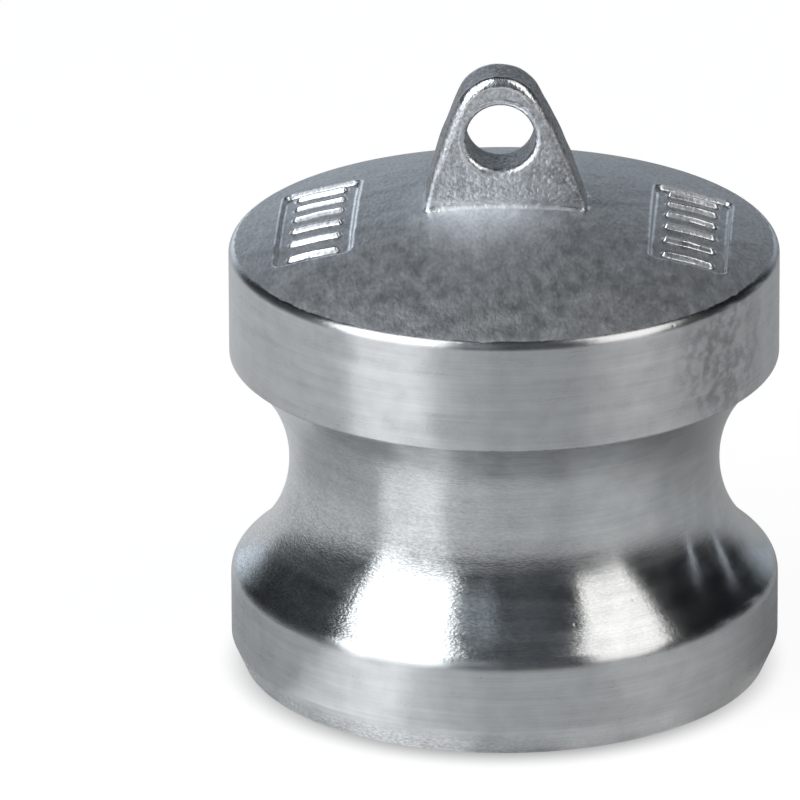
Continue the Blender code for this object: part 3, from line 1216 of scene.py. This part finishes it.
@dataclass
class Casting:
    """The whole plug, as one closed surface in one material."""

    body: PlugBody
    lug: KeeperLug
    pads: tuple[SunkenPad, SunkenPad]
    turned: TurnedFinish
    cast: CastFinish
    smooth_up_to: float = math.radians(40)
    flat_bend: float = 0.12 / MM
    sharp_bend: float = 0.7 / MM
    skin_step: Pair = (-2 * MM, -1 * MM)
    skin_blend: float = 0.08 * MM
    wander: float = 0.5 * MM
    wander_scale: float = 700.0

    def build(self) -> bpy.types.Object:
        """Turns the body, lets in the pads and joins the lug with its foot.

        Returns:
            The plug's object.
        """
        plug = solid_object("stainless_dust_plug", self.body.solid())
        for pad in self.pads:
            combine(plug, solid_object("pad_pocket", pad.pocket()), Operation.CUT)
            combine(plug, solid_object("pad_tile", pad.tile()), Operation.JOIN)
        combine(plug, solid_object("lug", self.lug.solid()), Operation.JOIN)
        combine(plug, solid_object("lug_foot", self.lug.foot()), Operation.JOIN)
        plug.data.shade_smooth()
        plug.data.set_sharp_from_angle(angle=self.smooth_up_to)
        mark_bends(plug.data, self.flat_bend, self.sharp_bend)
        plug.data.materials.clear()
        plug.data.materials.append(self.steel())
        return plug

    def steel(self) -> bpy.types.Material:
        """Stainless steel, turned outside the dome's rim and the hollow's mouth, else cast.

        The limit between the two lies at the rim over the shoulder and at the mouth below it, and
        wanders a little with a noise.

        Returns:
            The material.
        """
        made = bpy.data.materials.new("stainless_steel")
        wiring = Wiring(made)
        vector, x, y, z = wiring.place()
        body = self.body
        mouth = body.wall(0.0) + body.mouth_round
        over = (z - body.shoulder).rise(*self.skin_step)
        limit = mouth + over * (body.rim_start - mouth)
        wander = wiring.noise(vector, self.wander_scale) * self.wander
        turned = (hypot(x, y) - limit + wander).rise(-self.skin_blend, self.skin_blend)
        mixed = wiring.node("ShaderNodeMixShader", {}, {
            "Fac": turned, 1: self.cast.shader(wiring), 2: self.turned.shader(wiring),
        })
        wiring.finish("ShaderNodeOutputMaterial", mixed)
        return made


def bearing(azimuth: float) -> Pair:
    """The x and y of a level direction, from the front and positive to the right, in degrees."""
    return math.sin(math.radians(azimuth)), -math.cos(math.radians(azimuth))


@dataclass(frozen=True)
class Glow:
    """A lighter stretch of what stands round the plug, with all angles in degrees.

    It is full as far as its core from its azimuth, and ends at its spread. On the floor its level
    takes a further part near the plug's foot and another one far from it.
    """

    azimuth: float
    spread: float
    core: float
    level: float = 0.0
    near: float = 0.0
    far: float = 0.0

    def light(
        self, x: Signal, y: Signal, near: Signal | float = 0.0, far: Signal | float = 0.0
    ) -> Signal:
        """Its level, eased out between core and spread by the cosine of the angle from its azimuth.

        Args:
            x: Direction or place to the right.
            y: Direction or place towards the back.
            near: One near the foot.
            far: One far from it.

        Returns:
            The light.
        """
        to_right, to_back = bearing(self.azimuth)
        closeness = (x * to_right + y * to_back) / hypot(x, y)
        edges = (math.cos(math.radians(angle)) for angle in (self.spread, self.core))
        return closeness.rise(*edges) * (self.level + near * self.near + far * self.far)


@dataclass(frozen=True)
class SoftBox:
    """A rectangular studio lamp, placed by the direction in which the plug sees its plane."""

    name: str
    azimuth: float
    elevation: float
    roll: float
    width: float
    low: float
    high: float
    radiance: float
    colour: Triple
    distance: float = 0.6

    def build(self) -> None:
        """Places the lamp on a plane square to its direction, rolled, from its low to its high edge.

        Width, low and high are shares of the distance. Azimuth 0 is towards the front, and positive
        azimuths go to the right.
        """
        elevation = math.radians(self.elevation)
        to_right, to_back = bearing(self.azimuth)
        away = Vector((
            to_right * math.cos(elevation), to_back * math.cos(elevation), math.sin(elevation)
        ))
        right = Vector((-to_back, to_right, 0))
        up = right.cross(away)
        up = up if up.z > 0 else -up
        turn = Matrix.Rotation(math.radians(self.roll), 3, away)
        right, up = turn @ right, turn @ up
        lamp = bpy.data.lights.new(self.name, "AREA")
        lamp.shape = "RECTANGLE"
        lamp.size = self.width * self.distance
        lamp.size_y = (self.high - self.low) * self.distance
        lamp.energy = self.radiance * math.pi * lamp.size * lamp.size_y
        lamp.color = self.colour
        made = placed_in_scene(self.name, lamp)
        facing = Matrix((right, up, right.cross(up))).transposed().to_4x4()
        centre = (away + up * (self.low + self.high) / 2) * self.distance
        made.matrix_world = Matrix.Translation(centre) @ facing
        made.visible_camera = False


@dataclass(frozen=True)
class WhiteFloor:
    """A pale floor that is white to the camera, but for painted shade round the plug's foot, over
    the faint shade that the lamps cast.

    The metal mirrors it at lower levels, as the lamps light it, and with painted light and shade on
    it in stretches round the plug, lighter or darker near the foot.
    """

    foot_radius: float
    half: float = 3.0
    # Painted shade round the foot in what the camera sees, set a little off the axis.
    painted_shade_shift: Pair = (-0.2 * MM, -1.6 * MM)
    painted_shade_slope: Slope = (-2.9 * MM, 2.7 * MM, 0.32, 0.93)
    horizon: Slope = (0.15, 0.5, 0.0, 0.07)
    near: Slope = (0.5 * MM, 5 * MM, 1.0, 0.0)
    far: Pair = (15 * MM, 60 * MM)
    grey: float = 0.72
    grey_to_camera: float = 0.12
    # Painted light and shade on the floor, by azimuth and by distance from the foot, seen only in
    # what the metal mirrors.
    painted_floor_light: tuple[Glow, ...] = (
        Glow(-150, 40, 12, 0.21),
        Glow(-95, 35, 12, far=0.17),
        Glow(-44, 20, 9, 0.52, near=-0.40),
        Glow(-32, 16, 6, 0.11, far=-0.11),
        Glow(-22, 18, 6, 0.08, near=0.27),
        Glow(0, 30, 10, 0.05),
        Glow(28, 20, 8, near=0.19),
        Glow(55, 30, 10, 0.10, near=0.05),
        Glow(105, 1.5, 0.4, far=0.13),
        Glow(127, 1.5, 0.4, far=0.13),
    )

    def build(self) -> None:
        """Lays the floor, and lights it to the camera and to what mirrors it."""
        mesh = bpy.data.meshes.new("floor")
        corners = self.half * np.array(((-1, -1, 0), (1, -1, 0), (1, 1, 0), (-1, 1, 0)))
        mesh.from_pydata(corners, [], [(0, 1, 2, 3)])
        material = bpy.data.materials.new("white_floor")
        wiring = Wiring(material)
        camera = wiring.node("ShaderNodeLightPath", output="Is Camera Ray")
        x, y = wiring.place()[1:3]
        beyond = hypot(x, y) - self.foot_radius
        # Painted shade: the white that the camera sees is let down round the foot.
        painted_shade_reach = hypot(x - self.painted_shade_shift[0], y - self.painted_shade_shift[1]) - self.foot_radius
        white = painted_shade_reach.rise(*self.painted_shade_slope) + beyond.rise(*self.horizon)
        near = beyond.rise(*self.near)
        far = beyond.rise(*self.far)
        # Painted light and shade on the floor, which only glossy and transmission rays see.
        painted_floor_glow = sum(glow.light(x, y, near, far) for glow in self.painted_floor_light)
        mirrored = camera.other("Is Glossy Ray") + camera.other("Is Transmission Ray")
        glow = wiring.node(
            "ShaderNodeEmission", {}, {"Strength": camera * white + mirrored * painted_floor_glow}
        )
        grey = self.grey - camera * (self.grey - self.grey_to_camera)
        paint = wiring.node("ShaderNodeBsdfDiffuse", {}, {"Color": grey})
        wiring.finish(
            "ShaderNodeOutputMaterial", wiring.node("ShaderNodeAddShader", {}, {0: paint, 1: glow})
        )
        mesh.materials.append(material)
        made = placed_in_scene("floor", mesh)


@dataclass(frozen=True)
class Surroundings:
    """A room that is white to the camera, and to all else dim with a light backdrop behind.

    Its left half and its ceiling are a little lighter. Three panels hang half way up before the
    plug and on its left, a low wall stands on the left, and two thin gaps on the right are bright.
    A slope runs over the direction's height, unless its name ends in x or y.
    """

    tint: tuple[float, ...] = (0.88, 0.98, 1.08, 1.0)
    dim: float = 0.015
    ceiling: Slope = (0.75, 0.9, 0.0, 0.044)
    side: Glow = Glow(-40, 115, 75, 0.038)
    panels: tuple[Glow, ...] = (
        Glow(5, 25, 8, 0.05), Glow(-16, 13, 5, 0.26), Glow(-80, 12, 4, 0.14),
    )
    panel_foot: Pair = (0.3, 0.5)
    panel_top: Slope = (0.8, 0.95, 1.0, 0.0)
    low_wall: Glow = Glow(-110, 60, 30, 0.07)
    low_wall_top: Slope = (0.0, 0.3, 1.0, 0.0)
    gaps: tuple[Glow, ...] = (Glow(105, 1.5, 0.4, 0.95), Glow(127, 1.5, 0.4, 0.95))
    gap_top: Slope = (0.1, 0.5, 1.0, 0.0)
    backdrop_x: Slope = (-0.3, 0.2, 1.8, 0.95)
    backdrop_y: Pair = (0.70, 0.95)
    backdrop_z: Slope = (0.2, 0.7, 0.56, 0.0)

    def build(self) -> None:
        """Makes them the scene's world."""
        world = bpy.data.worlds.new("studio")
        bpy.context.scene.world = world
        wiring = Wiring(world)
        direction = wiring.node("ShaderNodeTexCoord", output="Generated")
        x = wiring.node("ShaderNodeSeparateXYZ", {}, {"Vector": direction})
        y, z = x.other("Y"), x.other("Z")
        room = self.dim + z.rise(*self.ceiling) + self.side.light(x, y)
        room = room + self.low_wall.light(x, y) * z.rise(*self.low_wall_top)
        panels = sum(panel.light(x, y) for panel in self.panels)
        room = room + panels * z.rise(*self.panel_foot) * z.rise(*self.panel_top)
        room = room + sum(gap.light(x, y) for gap in self.gaps) * z.rise(*self.gap_top)
        backdrop = x.rise(*self.backdrop_x) * y.rise(*self.backdrop_y) * z.rise(*self.backdrop_z)
        mirrored = wiring.node(
            "ShaderNodeBackground", {}, {"Strength": room + backdrop, "Color": self.tint}
        )
        white = wiring.node("ShaderNodeBackground", {}, {"Strength": 1.0, "Color": (1, 1, 1, 1)})
        seen = wiring.node("ShaderNodeLightPath", output="Is Camera Ray")
        wiring.finish("ShaderNodeOutputWorld", wiring.node(
            "ShaderNodeMixShader", {}, {"Fac": seen, 1: mirrored, 2: white}
        ))


@dataclass
class Studio:
    """The camera, the floor, the surroundings and two soft boxes, the left one up to overhead."""

    foot_radius: float
    picture_side: float = 800
    pixels_per_metre: float = 10280
    target: Vector = field(default_factory=lambda: Vector((0, 0, 0.025)))
    target_pixel: Pair = (504.2, 414.2)
    elevation: float = math.radians(21.8)
    roll: float = math.radians(-0.25)
    distance: float = 1.43
    sensor: float = 36
    boxes: tuple[SoftBox, ...] = (
        SoftBox(
            "soft_box_left", azimuth=-49.5, elevation=24.6, roll=18.6, width=0.77, low=-0.31,
            high=1.80, radiance=2.45, colour=(0.965, 1.0, 1.025),
        ),
        SoftBox(
            "soft_box_right", azimuth=61.7, elevation=41.6, roll=-27.6, width=0.50, low=-0.62,
            high=0.77, radiance=1.54, colour=(1.0, 0.985, 0.955),
        ),
    )

    def camera(self) -> None:
        """Aims a long lens at the plug, so that the target falls on its pixel of the picture."""
        right = Vector((1, 0, 0))
        up = Vector((0, math.sin(self.elevation), math.cos(self.elevation)))
        back = right.cross(up)
        middle = self.picture_side / 2
        across = (self.target_pixel[0] - middle) / self.pixels_per_metre
        down = (self.target_pixel[1] - middle) / self.pixels_per_metre
        lens = bpy.data.cameras.new("camera")
        lens.sensor_width = self.sensor
        lens.lens = self.sensor * self.distance * self.pixels_per_metre / self.picture_side
        made = placed_in_scene("camera", lens)
        made.location = self.target - right * across + up * down + back * self.distance
        made.rotation_euler = (math.pi / 2 - self.elevation, 0, 0)
        made.rotation_euler.rotate_axis("Z", self.roll)
        bpy.context.scene.camera = made

    def build(self) -> None:
        """Sets the studio up."""
        self.camera()
        WhiteFloor(self.foot_radius).build()
        Surroundings().build()
        for box in self.boxes:
            box.build()
        bpy.context.scene.view_settings.view_transform = "Standard"


def plain(box: Any) -> list[list[float]]:
    """A box's corners as lists of numbers."""
    return [[float(value) for value in corner] for corner in box]


def main() -> None:
    """Builds the plug and its studio."""
    logging.basicConfig(level=logging.INFO, format="%(name)s: %(message)s")
    low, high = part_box(NODE)
    body = PlugBody(radius=(high[0] - low[0]) / 2)
    lug = KeeperLug(body)
    cast = CastFinish(lug_foot=body.crown_top, lug_front=-lug.thickness / 2)
    turned = TurnedFinish(band_radius=body.radius)
    casting = Casting(body, lug, (SunkenPad(body, -1), SunkenPad(body, 1)), turned, cast)
    plug = casting.build()
    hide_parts(NODE)
    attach(plug, BODY)
    log.info("%s: %d faces", plug.name, len(plug.data.polygons))
    Studio(foot_radius=body.radius - body.lead_in_depth).build()
    log.info("studio: floor, surroundings, soft boxes and camera")


if __name__ == "__main__":
    main()
